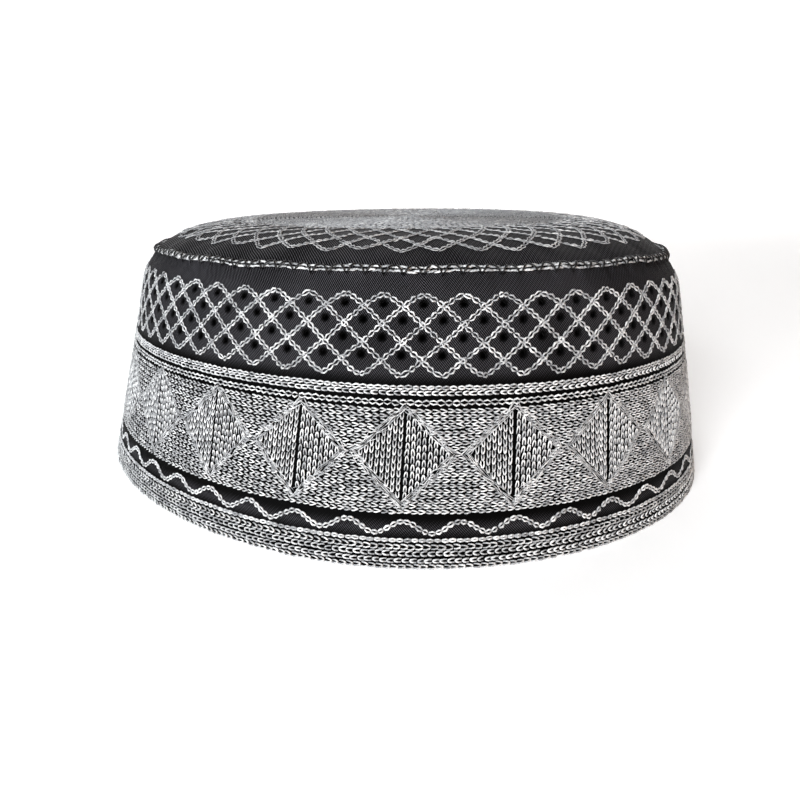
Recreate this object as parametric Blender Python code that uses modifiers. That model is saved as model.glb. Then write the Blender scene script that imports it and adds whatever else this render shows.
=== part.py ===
"""A round embroidered kufi: a stiff cloth side band, a low domed crown and the stitched rows that stand on them.

Units are metres and +Z is up. The origin is at the middle of the cap on the plane that its rim rests on,
and -Y is the side that the photograph shows. The cap stands by itself, so it is slightly oval and it leans a little.
"""

import math

import bmesh
import bpy
from mathutils import Vector

# Driving dimensions. The rim fits a head about 57 cm round.
RIM_RADIUS = 0.0930
SEAM_HEIGHT = 0.0655
CROWN_RISE = 0.0079
CLOTH = 0.0018
SKIN_GAP = 0.0003
SKIN = 0.0008

# How the wall draws in as it climbs: shares of the rim's radius, for a height in rim radii.
FLARE = 1.0062
TAPER = -0.1663
TAPER_SQUARE = -0.0677
TAPER_CUBE = 0.0622
SHOULDER = 0.0367
SHOULDER_DEPTH = 0.110
CROWN_POWER = 8.0
RIM_FOOT = 0.0012

# How the standing cap departs from a round one: shares of its radius, a lean, and a few small waves.
OVAL_TABLE = (
    # bulges around, then their cosine and sine shares of the radius, at the rim and at the seam
    {"count": 2, "rim": (0.0114, -0.0383), "seam": (0.0037, -0.0203)},
    {"count": 3, "rim": (-0.0085, -0.0039), "seam": (-0.0182, -0.0010)},
    {"count": 4, "rim": (0.0083, -0.0060), "seam": (-0.0060, -0.0032)},
)
LEAN = 0.0699
LEAN_SQUARE = -0.0254
LEAN_BACK = 0.0182
CROWN_TILT = 0.0091
CROWN_TILT_BACK = 0.0023
CENTRING = (0.00062, -0.00024)
WAVE_TABLE = (
    # waves around, share of the radius, phase in radians, height where it is strongest in rim radii
    {"count": 5, "depth": 0.0022, "phase": 0.7, "height": 0.55},
    {"count": 8, "depth": 0.0014, "phase": 2.1, "height": 0.25},
    {"count": 13, "depth": 0.0009, "phase": 4.0, "height": 0.68},
)
WAVE_SPREAD = 0.22
PUCKERS = 22
PUCKER_DEPTH = 0.0003

# The repeats around the cap. The band's turned pieces have four sides to a diamond, the crown's two.
DIAMONDS = 22
BAND_SIDES = 4 * DIAMONDS
CROWN_SIDES = 2 * DIAMONDS
STEP = 2 * math.pi / BAND_SIDES
FRONT = -0.5 * math.pi

# The belt's heights on the wall, and the single and double rows above and below it.
BELT_FOOT = 0.0126
BELT_HEAD = 0.0364
DIAMOND_FOOT = 0.0154
DIAMOND_WAIST = 0.0262
DIAMOND_HEAD = 0.0357
DIAMOND_REACH = 0.87
ROW_TABLE = (
    # node, rows of stitches side by side, lower edge, width of one row
    {"name": "upper_double_row", "rows": 2, "foot": 0.03908, "width": 0.00119},
    {"name": "upper_single_row", "rows": 1, "foot": 0.03684, "width": 0.00155},
    {"name": "rim_row_upper", "rows": 1, "foot": 0.00612, "width": 0.00145},
    {"name": "rim_rows_middle", "rows": 2, "foot": 0.00288, "width": 0.00154},
    {"name": "rim_rows_lower", "rows": 2, "foot": 0.0, "width": 0.00142},
)

# The crown's stitched middle, and the seam where the crown's cloth meets the band's.
FIELD_RADIUS = 0.0495
BAND_DROP = 0.0012
CROWN_DRAW = 0.0009
SEAM_SLOPE = math.radians(42)
CORD_WIDTH = 0.0018
CORD_THICKNESS = 0.0009

BLACK_CLOTH = (0.018, 0.019, 0.024, 1.0)
SILVER_THREAD = (0.55, 0.56, 0.58, 1.0)


def clear_scene():
    for old in list(bpy.data.objects):
        bpy.data.objects.remove(old, do_unlink=True)


def material(name, colour, roughness, metallic):
    made = bpy.data.materials.new(name)
    made.use_nodes = True
    shader = made.node_tree.nodes["Principled BSDF"]
    shader.inputs["Base Color"].default_value = colour
    shader.inputs["Roughness"].default_value = roughness
    shader.inputs["Metallic"].default_value = metallic
    return made


def wall_radius(height):
    """The outer radius of the stitched wall at this height, before the cap's oval and lean."""
    high = height / RIM_RADIUS
    seam = SEAM_HEIGHT / RIM_RADIUS
    turn = min(max((high - seam + SHOULDER_DEPTH) / SHOULDER_DEPTH, 0.0), 1.0)
    share = FLARE + TAPER * high + TAPER_SQUARE * high**2 + TAPER_CUBE * high**3 - SHOULDER * turn**2
    return RIM_RADIUS * share


SEAM_RADIUS = wall_radius(SEAM_HEIGHT)


def cloth_radius(height):
    """The cloth's own outer radius: the stitched rows stand on it."""
    return wall_radius(height) - SKIN - SKIN_GAP


def crown_height(radius):
    """The height of the crown's stitched surface: nearly flat, then rounding down to the seam."""
    return SEAM_HEIGHT + CROWN_RISE * (1 - (radius / SEAM_RADIUS) ** CROWN_POWER)


def bulges(height):
    """The oval's cosine and sine shares at this height, between those of the rim and of the seam."""
    up = min(height, SEAM_HEIGHT) / SEAM_HEIGHT
    for oval in OVAL_TABLE:
        at_rim, at_seam = oval["rim"], oval["seam"]
        yield oval["count"], *(low + (high - low) * up for low, high in zip(at_rim, at_seam))


def evened(angle, height):
    """Turns an angle of the round cap so that equal steps stay equal lengths along the oval."""
    start = angle
    for count, cosine, sine in bulges(height):
        here = cosine * math.sin(count * start) - sine * math.cos(count * start)
        front = cosine * math.sin(count * FRONT) - sine * math.cos(count * FRONT)
        angle -= (here - front) / count
    return angle


def settled(point):
    """Where a point of the round cap goes when the cap stands by itself: oval, leaning, waved and puckered."""
    angle = evened(math.atan2(point.y, point.x), point.z)
    radius = math.hypot(point.x, point.y)
    high = min(point.z, SEAM_HEIGHT) / RIM_RADIUS
    share = 1
    for count, cosine, sine in bulges(point.z):
        share += cosine * math.cos(count * angle) + sine * math.sin(count * angle)
    for wave in WAVE_TABLE:
        strength = math.exp(-(((high - wave["height"]) / WAVE_SPREAD) ** 2))
        share += wave["depth"] * strength * math.sin(wave["count"] * angle + wave["phase"])
    lean = RIM_RADIUS * (LEAN * high + LEAN_SQUARE * high**2)
    x = radius * share * math.cos(angle) + lean
    y = radius * share * math.sin(angle) + RIM_RADIUS * LEAN_BACK * high
    rise = min(max(2 * point.z / SEAM_HEIGHT - 1, 0.0), 1.0)
    near_seam = math.exp(-(((radius - 0.93 * SEAM_RADIUS) / (0.10 * SEAM_RADIUS)) ** 2))
    pucker = PUCKER_DEPTH * near_seam * math.cos(PUCKERS * angle)
    z = point.z + rise**2 * (CROWN_TILT * x + CROWN_TILT_BACK * y + pucker)
    return Vector((x + CENTRING[0], y + CENTRING[1], z))


def settle(obj):
    """Bakes the modifiers and moves every point from the round cap to the standing one."""
    graph = bpy.context.evaluated_depsgraph_get()
    baked = bpy.data.meshes.new_from_object(obj.evaluated_get(graph))
    obj.modifiers.clear()
    for vertex in baked.vertices:
        vertex.co = settled(vertex.co)
    obj.data = baked
    obj.data.shade_smooth()
    obj.data.set_sharp_from_angle(angle=math.radians(40))
    return obj


def new_object(name, mesh, surface, collection):
    obj = bpy.data.objects.new(name, mesh)
    obj.data.materials.append(surface)
    collection.objects.link(obj)
    return obj


def turned(name, profile, closed, sides, surface, collection):
    """A profile of (radius, height) points, listed down its outer side, carried once around the axis."""
    shape = bmesh.new()
    points = [shape.verts.new((radius, 0.0, height)) for radius, height in profile]
    for first, second in zip(points, points[1:]):
        shape.edges.new((first, second))
    if closed:
        shape.edges.new((points[-1], points[0]))
    mesh = bpy.data.meshes.new(name)
    shape.to_mesh(mesh)
    shape.free()
    obj = new_object(name, mesh, surface, collection)
    screw = obj.modifiers.new("turn", "SCREW")
    screw.steps = sides
    screw.render_steps = sides
    screw.use_merge_vertices = True
    screw.merge_threshold = 0.00001
    return obj


def thickened(obj, thickness):
    """Gives an open surface its wall, inwards from the surface."""
    wall = obj.modifiers.new("wall", "SOLIDIFY")
    wall.thickness = thickness
    wall.offset = -1
    wall.use_even_offset = True
    return obj


def side_band(surface, collection):
    """The band's cloth, with a short upright foot so that its lower edge lies flat on the ground."""
    rise = SEAM_HEIGHT - BAND_DROP - RIM_FOOT
    levels = 6
    heights = [RIM_FOOT + rise * (1 - (step / levels) ** 1.4) for step in range(levels + 1)]
    profile = [(cloth_radius(height), height) for height in heights]
    profile.append((cloth_radius(RIM_FOOT), 0.0))
    return settle(thickened(turned("side_band", profile, False, BAND_SIDES, surface, collection), CLOTH))


def crown_profile(outer, drop, rings):
    """Points on the crown from the middle out, closer together where it rounds down."""
    points = []
    for step in range(rings + 1):
        radius = outer * math.sin(0.5 * math.pi * step / rings)
        points.append((radius, crown_height(radius) - drop))
    return points


def crown(surface, collection):
    """The crown's cloth, drawn back from the seam so that its cut edge faces the band's."""
    profile = crown_profile(SEAM_RADIUS - CROWN_DRAW, SKIN + SKIN_GAP, 7)
    return settle(thickened(turned("crown", profile, False, CROWN_SIDES, surface, collection), CLOTH))


def crown_field(surface, collection):
    """The densely stitched middle of the crown."""
    profile = crown_profile(FIELD_RADIUS, 0.0, 4)
    return settle(thickened(turned("crown_field", profile, False, CROWN_SIDES, surface, collection), SKIN))


def crown_seam_cord(surface, collection):
    """The flat cord over the seam, lying at the slope where the crown turns down into the band."""
    along = Vector((math.cos(SEAM_SLOPE), -math.sin(SEAM_SLOPE)))
    out = Vector((math.sin(SEAM_SLOPE), math.cos(SEAM_SLOPE)))
    inset = SKIN + SKIN_GAP
    cloth_corner = Vector((SEAM_RADIUS - 0.45 * inset, SEAM_HEIGHT - 0.7 * inset))
    base = cloth_corner + 1.2 * SKIN_GAP * out
    profile = []
    for across, up in ((-0.5, 0.0), (-0.3, 1.0), (0.3, 1.0), (0.5, 0.0)):
        point = base + along * across * CORD_WIDTH + out * up * CORD_THICKNESS
        profile.append((point.x, point.y))
    return settle(turned("crown_seam_cord", profile, True, BAND_SIDES, surface, collection))


def stitched_rows(band, surface, collection):
    """Rings of stitches side by side: a closed profile, two crests on a single row and one on each of several."""
    rows, foot, width = band["rows"], band["foot"], band["width"]
    head = foot + rows * width
    profile = [(wall_radius(head) - SKIN, head)]
    for row in range(rows):
        middle = head - (row + 0.5) * width
        crests = (middle + 0.25 * width, middle - 0.25 * width) if rows == 1 else (middle,)
        profile += [(wall_radius(crest), crest) for crest in crests]
        if row < rows - 1:
            valley = middle - 0.5 * width
            profile.append((wall_radius(valley) - 0.4 * SKIN, valley))
    profile.append((wall_radius(foot) - SKIN, foot))
    return settle(turned(band["name"], profile, True, BAND_SIDES, surface, collection))


def patch(name, columns, surface, collection):
    """An open surface on the wall from columns of (side, low, high), divided alike, then given its thickness.

    A column whose low and high are equal is a single corner point.
    """
    shape = bmesh.new()
    levels = 2
    grid = []
    for side, low, high in columns:
        angle = FRONT + side * STEP
        line = []
        for level in range(levels + 1):
            height = high + (low - high) * level / levels
            radius = wall_radius(height)
            if low == high and line:
                line.append(line[0])
            else:
                line.append(shape.verts.new((radius * math.cos(angle), radius * math.sin(angle), height)))
        grid.append(line)
    for left, right in zip(grid, grid[1:]):
        for level in range(levels):
            corners = [left[level + 1], right[level + 1], right[level], left[level]]
            around = list(dict.fromkeys(corners))
            if len(around) > 2:
                shape.faces.new(around)
    bmesh.ops.remove_doubles(shape, verts=shape.verts, dist=0.00001)
    mesh = bpy.data.meshes.new(name)
    shape.to_mesh(mesh)
    shape.free()
    return settle(thickened(new_object(name, mesh, surface, collection), SKIN))


def zigzag(side):
    """The diamonds' upper and lower edge at a side line: tips at multiples of 4, the waist halfway between."""
    share = abs((side % 4) - 2) / 2
    upper = DIAMOND_WAIST + (DIAMOND_HEAD - DIAMOND_WAIST) * share
    lower = DIAMOND_WAIST + (DIAMOND_FOOT - DIAMOND_WAIST) * share
    return upper, lower


def belt_triangles_upper(surface, collection):
    """The ground above the diamonds: triangles hanging from the belt's top row."""
    columns = [(side, zigzag(side)[0] + SKIN_GAP, BELT_HEAD) for side in range(BAND_SIDES + 1)]
    return patch("belt_triangles_upper", columns, surface, collection)


def belt_triangles_lower(surface, collection):
    """The ground below the diamonds: triangles standing on the belt's border rows."""
    columns = [(side, BELT_FOOT, zigzag(side)[1] - SKIN_GAP) for side in range(BAND_SIDES + 1)]
    return patch("belt_triangles_lower", columns, surface, collection)


def belt_diamond(number, surface, collection):
    """One diamond of upright rows, drawn in a little from the triangles around it."""
    middle = 4 * number
    columns = [(middle - 2 * DIAMOND_REACH, DIAMOND_WAIST, DIAMOND_WAIST)]
    for side in (-1, 0, 1):
        upper, lower = zigzag(side)
        columns.append((middle + side, lower + SKIN_GAP, upper - SKIN_GAP))
    columns.append((middle + 2 * DIAMOND_REACH, DIAMOND_WAIST, DIAMOND_WAIST))
    return patch(f"belt_diamond_{number + 1:02d}", columns, surface, collection)


def build():
    clear_scene()
    parts = bpy.data.collections.new("kufi")
    bpy.context.scene.collection.children.link(parts)
    cloth = material("black_cloth", BLACK_CLOTH, 0.55, 0.0)
    thread = material("silver_thread", SILVER_THREAD, 0.45, 0.0)
    side_band(cloth, parts)
    crown(cloth, parts)
    crown_field(thread, parts)
    crown_seam_cord(thread, parts)
    for band in ROW_TABLE:
        stitched_rows(band, thread, parts)
    belt_triangles_upper(thread, parts)
    belt_triangles_lower(thread, parts)
    for number in range(DIAMONDS):
        belt_diamond(number, thread, parts)


build()
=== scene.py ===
"""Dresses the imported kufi: pierced black cloth, chain-stitched rows, lattices, a wave line and a corded seam.

Lengths are metres. The round cap is worked out first, and settled() then moves every point to where
it stands.
"""

import math

import bpy
import numpy as np
from bpy.props import FloatProperty, FloatVectorProperty, IntProperty, PointerProperty
from bpy.types import Operator, Panel, PropertyGroup
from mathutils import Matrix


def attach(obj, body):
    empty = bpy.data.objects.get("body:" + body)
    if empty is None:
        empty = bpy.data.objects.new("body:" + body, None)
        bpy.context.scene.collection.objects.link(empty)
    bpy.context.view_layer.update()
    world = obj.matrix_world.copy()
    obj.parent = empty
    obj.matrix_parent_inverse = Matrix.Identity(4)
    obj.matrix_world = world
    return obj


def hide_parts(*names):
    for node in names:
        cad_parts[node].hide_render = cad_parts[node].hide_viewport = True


bl_info = {
    "name": "Kufi stitching",
    "version": (1, 0, 0),
    "blender": (4, 5, 0),
    "location": "View3D > Sidebar > Kufi",
    "description": "Makes the cloth and the chain stitching of an embroidered kufi",
    "category": "Object",
}

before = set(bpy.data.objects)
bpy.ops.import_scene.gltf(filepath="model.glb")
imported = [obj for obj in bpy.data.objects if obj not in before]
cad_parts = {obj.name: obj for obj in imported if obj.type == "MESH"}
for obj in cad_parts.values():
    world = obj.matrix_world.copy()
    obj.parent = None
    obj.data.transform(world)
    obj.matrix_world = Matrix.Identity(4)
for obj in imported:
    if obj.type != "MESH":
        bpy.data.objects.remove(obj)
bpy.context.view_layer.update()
BODY = "root"
SEED = 11

# The cap's form, with the same values as its solids.
RIM_RADIUS = 0.0930
SEAM_HEIGHT = 0.0655
CROWN_RISE = 0.0079
CLOTH_DROP = 0.00060
WALL_TERMS = (1.0062, -0.1663, -0.0677, 0.0622)
SHOULDER = 0.0367
SHOULDER_DEPTH = 0.110
CROWN_POWER = 8.0
OVALS = (
    # bulges around, then their cosine and sine shares of the radius, at the rim and at the seam
    (2, (0.0114, -0.0383), (0.0037, -0.0203)),
    (3, (-0.0085, -0.0039), (-0.0182, -0.0010)),
    (4, (0.0083, -0.0060), (-0.0060, -0.0032)),
)
LEAN = 0.0699
LEAN_SQUARE = -0.0254
LEAN_BACK = 0.0182
CROWN_TILT = 0.0091
CROWN_TILT_BACK = 0.0023
CENTRING = (0.00062, -0.00024)
WAVES = (
    # bulges around, depth as a share of the radius, phase, and height in rim radii
    (5, 0.0022, 0.7, 0.55),
    (8, 0.0014, 2.1, 0.25),
    (13, 0.0009, 4.0, 0.68),
)
WAVE_SPREAD = 0.22
FRONT = -0.5 * math.pi
TURN = 2 * math.pi
SLOPE_STEP = 1e-5

# The seam: its bow as a cubic in x, its dip at the right, its puckers, and the slope that the cord lies on.
SEAM_BOW = (0.00085, -0.00022, -0.00035, -0.00040)
SEAM_DIP = 0.0012
BOW_FADE_DOWN = 0.015
BOW_FADE_IN = 0.018
PUCKERS = 22
PUCKER_DEPTH = 0.0003
PUCKER_PLACE = 0.93
PUCKER_SPREAD = 0.10
SEAM_SLOPE = math.radians(42)
SEAM_INSET = 0.0004
SEAM_SINK = 0.0006

# Where the patterns stand on the wall, as heights, and on the crown, as radii.
RIM_ROWS = (
    # height, width, form of its links, and whether they run backwards
    (0.00068, 0.00132, "vee", True),
    (0.00209, 0.00132, "vee", False),
    (0.00374, 0.00150, "vee", False),
    (0.00526, 0.00152, "vee", True),
    (0.00677, 0.00114, "ring", False),
)
RIM_ROW_RADIUS = 0.0925
RIM_ROWS_HEAD = 0.0076
UPPER_ROWS = (
    # height, width, and form of its links
    (0.03967, 0.00119, "vee"),
    (0.04087, 0.00119, "ring"),
    (0.03762, 0.00155, "ring"),
)
UPPER_ROW_RADIUS = 0.0868
UPPER_ROWS_HEAD = 0.0414
BELT_FOOT = 0.0127
BELT_HEAD = 0.0364
BELT_ROWS = 20
GROUND_START = 0.93
DIAMONDS = 22
DIAMOND_FOOT = 0.0138
DIAMOND_WAIST = 0.0262
DIAMOND_HEAD = 0.0376
DIAMOND_HALF = 0.0122
DIAMOND_PHASE = -0.018
COLUMNS_A_SIDE = 8
COLUMN_WIDTH = 0.00104
COLUMN_THREAD = 0.00019
SHORTEST_COLUMN = 0.05
SLIT_RANGE = (0.00008, 0.00028)
FRONT_SLITS = (0.00016, 0.00026)
EDGE_ZONE = 0.13
EDGE_PIECES = 5
EDGE_LANES = 6
EDGE_THREAD = 0.00012
EDGE_WANDER = 0.00036
LATTICE_LEVELS = (0.0611, 0.0580, 0.0542, 0.0502, 0.0465, 0.0424)
EYELET_LEVELS = (0.0620, 0.0585, 0.0551, 0.0514, 0.0477, 0.0440)
LATTICE_PHASE = 0.284
LATTICE_ROUNDING = 0.22
LATTICE_STAGGER = 0.07
LATTICE_SLIDES = (0.0, 0.3, -0.3)
WAVE_LOW = 0.0083
WAVE_HIGH = 0.0112
WAVE_WIDTH = 0.00144
WAVE_PHASE = 0.040
CROWN_LEVELS = (0.0732, 0.0691, 0.0649, 0.0602, 0.0540, 0.0475)
CROWN_PHASE = -0.33
FIELD_RADIUS = 0.0490
FIELD_PITCH = 0.00140
FIELD_EYE = 0.0008

# The cloth: its painted shade under stitches, its grid, its eyelets, and its wrinkles at the seam.
# painted shade: the share of its colour that the cloth keeps under stitches, and the width over which it blends
SHADED_UNDER_STITCHES = 0.3
SHADE_BLEND = 0.0003
CELL_STEPS = 6
BAND_FOOT = 0.0004
BAND_HEAD_GAP = 0.0002
STEPS_BELOW = 10
STEPS_ABOVE = 6
LATTICE_RADIUS = 0.0835
CUT_RADIUS = 0.088
EYELET_STEP = 0.0037
EYELET_REACH = 0.0019
EYELET_SHARE = 0.34
EYELET_EDGE = 0.0002
EYELET_LIP = 0.00012
LIP_SPREAD = 0.00022
EYELET_SINK = 0.00030
EYELET_SHADE = 0.5
SHADE_REACH = 0.00105
WRINKLES = (114, 31)
WRINKLE_DEPTH = 0.00030
WRINKLE_REACH = 0.0026
CROWN_GATHERS = (
    # depth, number around, and phase
    (0.00010, 57, 1.0),
    (0.00008, 83, 0.0),
    (0.00006, 31, 2.0),
)
GATHER_PLACE = 0.955
GATHER_SPREAD = 0.035
TUCK_IN = 0.992
TUCK_DOWN = 0.0009

# The seam's cord, the fine stitches over it, and the black zigzag.
ZIGZAGS = 114
ZIGZAG_TOP = -0.00155
ZIGZAG_FOOT = 0.00170
ZIGZAG_JITTER = 0.0009
ZIGZAG_THREAD = 0.00028
CORD_LANE = 0.00054
CORD_LINKS_A_ZIGZAG = 2.8
CORD_THREAD = 0.00036
CORD_FULLER = 0.45
CORD_LIFT = 0.0004
CORD_JITTER = 0.00012
CORD_END = 0.00018
FINE_STITCHES = 300
FINE_START = 0.70
FINE_SHARE = 0.45
FINE_REACH = 0.00085
FINE_SLANT = 0.0045
FINE_LIFT = 0.0005
FINE_THREAD = 0.00016

# A thread's height as a share of its width, a link's rise, and how much stitches differ in tone and girth.
THREAD_FLATNESS = 0.55
LINK_RISE = 0.0008
LINK_TONES = 0.17
PLY_TONES = 0.08
GIRTHS = 0.10

# A link's stations, and at each how far its two threads part, how high they rise as a share of LINK_RISE,
# how thick they are and how much lighter they are painted: painted highlight on the link's bulge and apex,
# painted shade at its ends, where it dips under the next.
LINK_FORMS = {
    "ring": {
        "station": (-0.12, 0.10, 0.50, 0.90, 1.12),
        "parting": (0.05, 0.50, 1.0, 0.50, 0.05),
        "rise": (-0.06, 0.14, 0.22, 0.12, -0.08),
        "girth": (0, 1.08, 1.10, 1.08, 0),
        "light": (-0.5, -0.10, 0.2, -0.10, -0.5),
    },
    "vee": {
        "station": (-0.08, 0.16, 0.55, 0.92, 1.16),
        "parting": (0, 0.52, 1.0, 1.0, 0.55),
        "rise": (0.02, 0.26, 0.20, 0.04, -0.12),
        "girth": (0, 1.25, 1.0, 0.90, 0),
        "light": (0.2, 0.2, -0.1, -0.3, -0.6),
    },
    "drop": {
        "station": (-0.08, 0.18, 0.62, 0.94, 1.16),
        "parting": (0, 0.20, 0.86, 1.0, 0.50),
        "rise": (0.02, 0.24, 0.22, 0.06, -0.12),
        "girth": (0, 1.0, 1.05, 0.95, 0),
        "light": (0.1, 0.0, 0.25, 0.0, -0.5),
    },
    "plain": {
        "station": (-0.12, 0.30, 0.80, 1.12),
        "parting": (0.05, 0.92, 0.94, 0.05),
        "rise": (-0.04, 0.20, 0.12, -0.12),
        "girth": (0, 1.05, 1.05, 0),
        "light": (-0.3, 0.1, 0.1, -0.3),
    },
}

# The studio: the lights, and the camera's place, tilt and lens.
CAP_MIDDLE = (0.0, 0.0, 0.035)
LIGHTS = (
    # name, place, aim, size, power in watts, and colour
    ("key light", (-0.50, -1.13, 0.44), CAP_MIDDLE, (0.5, 0.5), 24.3, (0.945, 0.975, 1.0)),
    ("fill light", (0.85, -0.85, 0.10), CAP_MIDDLE, (0.6, 0.6), 3.8, (1.0, 0.56, 0.28)),
    ("side light", (-1.10, 0.35, 0.30), CAP_MIDDLE, (0.5, 0.5), 0.6, (0.97, 0.985, 1.0)),
    ("background light", (0.0, 1.9, 1.5), (0.0, 1.9, 0.0), (3.0, 0.6), 25.0, (1.0, 0.985, 0.985)),
)
CAMERA_BACK = 0.2352
CAMERA_HEIGHT = 0.0864
CAMERA_DOWN = 0.3104
CAMERA_LENS = 31.9
CAMERA_SHIFT = 0.0024


def smooth_step(value, low, high):
    """3t^2 - 2t^3 of how far value lies from low to high."""
    t = np.clip((value - low) / (high - low), 0, 1)
    return t * t * (3 - 2 * t)


def wall_radius(height):
    """R times a cubic in h less shoulder t^2, where h is height over R and t runs 0 to 1 up the shoulder."""
    high = height / RIM_RADIUS
    turn = np.clip((high - SEAM_HEIGHT / RIM_RADIUS + SHOULDER_DEPTH) / SHOULDER_DEPTH, 0, 1)
    share = sum(term * high**power for power, term in enumerate(WALL_TERMS))
    return RIM_RADIUS * (share - SHOULDER * turn**2)


SEAM_RADIUS = float(wall_radius(SEAM_HEIGHT))


def crown_height(radius):
    """Seam height + rise (1 - (radius / seam radius)^8)."""
    return SEAM_HEIGHT + CROWN_RISE * (1 - (np.abs(radius) / SEAM_RADIUS) ** CROWN_POWER)


def settled(points):
    """Stands the round cap: radius times 1 + sum(c cos na + s sin na) + small waves, plus a lean and puckers.

    c and s run evenly from the rim's to the seam's, and angles first turn by sum((s cos na - c sin na) / n),
    less its value at the front, so that equal steps stay equal lengths along the oval. The seam also bows by
    a cubic in x at the front and dips at the right, fading away from it.
    """
    x, y, z = np.moveaxis(np.asarray(points, float), -1, 0)
    start, radius = np.arctan2(y, x), np.hypot(x, y)
    high = np.minimum(z, SEAM_HEIGHT) / RIM_RADIUS
    up = np.minimum(z, SEAM_HEIGHT) / SEAM_HEIGHT
    angle, bulges = start, []
    for count, rim, seam in OVALS:
        cosine, sine = rim[0] + (seam[0] - rim[0]) * up, rim[1] + (seam[1] - rim[1]) * up
        here = cosine * np.sin(count * start) - sine * np.cos(count * start)
        front = cosine * math.sin(count * FRONT) - sine * math.cos(count * FRONT)
        angle = angle - (here - front) / count
        bulges.append((count, cosine, sine))
    share = 1 + sum(cosine * np.cos(n * angle) + sine * np.sin(n * angle) for n, cosine, sine in bulges)
    for count, depth, phase, height in WAVES:
        near = np.exp(-(((high - height) / WAVE_SPREAD) ** 2))
        share = share + depth * near * np.sin(count * angle + phase)
    x = radius * share * np.cos(angle) + RIM_RADIUS * (LEAN * high + LEAN_SQUARE * high**2)
    y = radius * share * np.sin(angle) + RIM_RADIUS * LEAN_BACK * high
    away = (np.maximum(SEAM_HEIGHT - z, 0) / BOW_FADE_DOWN) ** 2
    away = away + ((SEAM_RADIUS - radius) / BOW_FADE_IN) ** 2
    side = x / SEAM_RADIUS
    bow = sum(term * side**power for power, term in enumerate(SEAM_BOW))
    bow = bow * smooth_step(-y / SEAM_RADIUS, 0, 0.5)
    bow = bow - SEAM_DIP * smooth_step(side, 0.75, 1.0)
    rise = np.clip(2 * z / SEAM_HEIGHT - 1, 0, 1)
    near_seam = np.exp(-(((radius - PUCKER_PLACE * SEAM_RADIUS) / (PUCKER_SPREAD * SEAM_RADIUS)) ** 2))
    pucker = PUCKER_DEPTH * near_seam * np.cos(PUCKERS * angle)
    z = z + rise**2 * (CROWN_TILT * x + CROWN_TILT_BACK * y + pucker) + bow * np.exp(-away)
    return np.stack([x + CENTRING[0], y + CENTRING[1], z], axis=-1)


def slope_of(profile, at):
    """A profile's slope, as (f(x + e) - f(x - e)) / 2e."""
    return (profile(at + SLOPE_STEP) - profile(at - SLOPE_STEP)) / (2 * SLOPE_STEP)


def round_points(radius, angle, height):
    """(r cos a, r sin a, height) as one array of points."""
    return np.stack(np.broadcast_arrays(radius * np.cos(angle), radius * np.sin(angle), height), -1)


def on_wall(angle, height, lift=0.0):
    """A point of the wall at this angle and height, moved out by lift along the profile's normal."""
    slope = slope_of(wall_radius, height)
    size = np.sqrt(1 + slope**2)
    return round_points(wall_radius(height) + lift / size, angle, height - lift * slope / size)


def on_crown(angle, radius, lift=0.0):
    """A point of the crown at this angle and radius, moved up by lift along the profile's normal."""
    slope = slope_of(crown_height, radius)
    size = np.sqrt(1 + slope**2)
    return round_points(radius - lift * slope / size, angle, crown_height(radius) + lift / size)


def on_seam(angle, across, lift=0.0):
    """A point on the slope of the seam: across runs down it from the crown to the band."""
    radius = SEAM_RADIUS - SEAM_INSET + across * math.cos(SEAM_SLOPE) + lift * math.sin(SEAM_SLOPE)
    height = SEAM_HEIGHT - SEAM_SINK - across * math.sin(SEAM_SLOPE) + lift * math.cos(SEAM_SLOPE)
    return round_points(radius, angle, height)


def laid(place, spots, lift):
    """The surface's points at an array of (angle, level)."""
    return place(spots[:, 0], spots[:, 1], lift)


def outward(place, angle, level, base=0.0):
    """The unit direction out of the surface, from two points 1 mm apart."""
    normal = place(angle, level, base + 0.001) - place(angle, level, base)
    return normal / np.linalg.norm(normal, axis=1, keepdims=True)


def mesh_object(name, points, loops, starts, uv=None, tint=None):
    """Puts whole arrays of points, face corners and first corners into a new mesh object at the origin."""
    mesh = bpy.data.meshes.new(name)
    mesh.vertices.add(len(points))
    mesh.loops.add(len(loops))
    mesh.polygons.add(len(starts))
    mesh.vertices.foreach_set("co", np.ascontiguousarray(points, np.float32).ravel())
    mesh.loops.foreach_set("vertex_index", loops.astype(np.int32))
    mesh.polygons.foreach_set("loop_start", starts.astype(np.int32))
    if uv is not None:
        layer = mesh.uv_layers.new(name="cut")
        layer.data.foreach_set("uv", np.ascontiguousarray(uv, np.float32).ravel())
    if tint is not None:
        layer = mesh.attributes.new("tint", "FLOAT", "POINT")
        layer.data.foreach_set("value", np.ascontiguousarray(tint, np.float32).ravel())
    mesh.update(calc_edges=True)
    mesh.shade_smooth()
    made = bpy.data.objects.new(name, mesh)
    bpy.context.scene.collection.objects.link(made)
    return made


def finish_piece(piece, material, nodes=()):
    """Gives a piece its finish, its body and the CAD nodes that it stands for."""
    piece.data.materials.append(material)
    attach(piece, BODY)
    if nodes:
        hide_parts(*nodes)
    return piece


def quads_to_loops(quads):
    """The face corners and first corners of faces that all have four."""
    return quads.ravel(), np.arange(len(quads)) * 4


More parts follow.
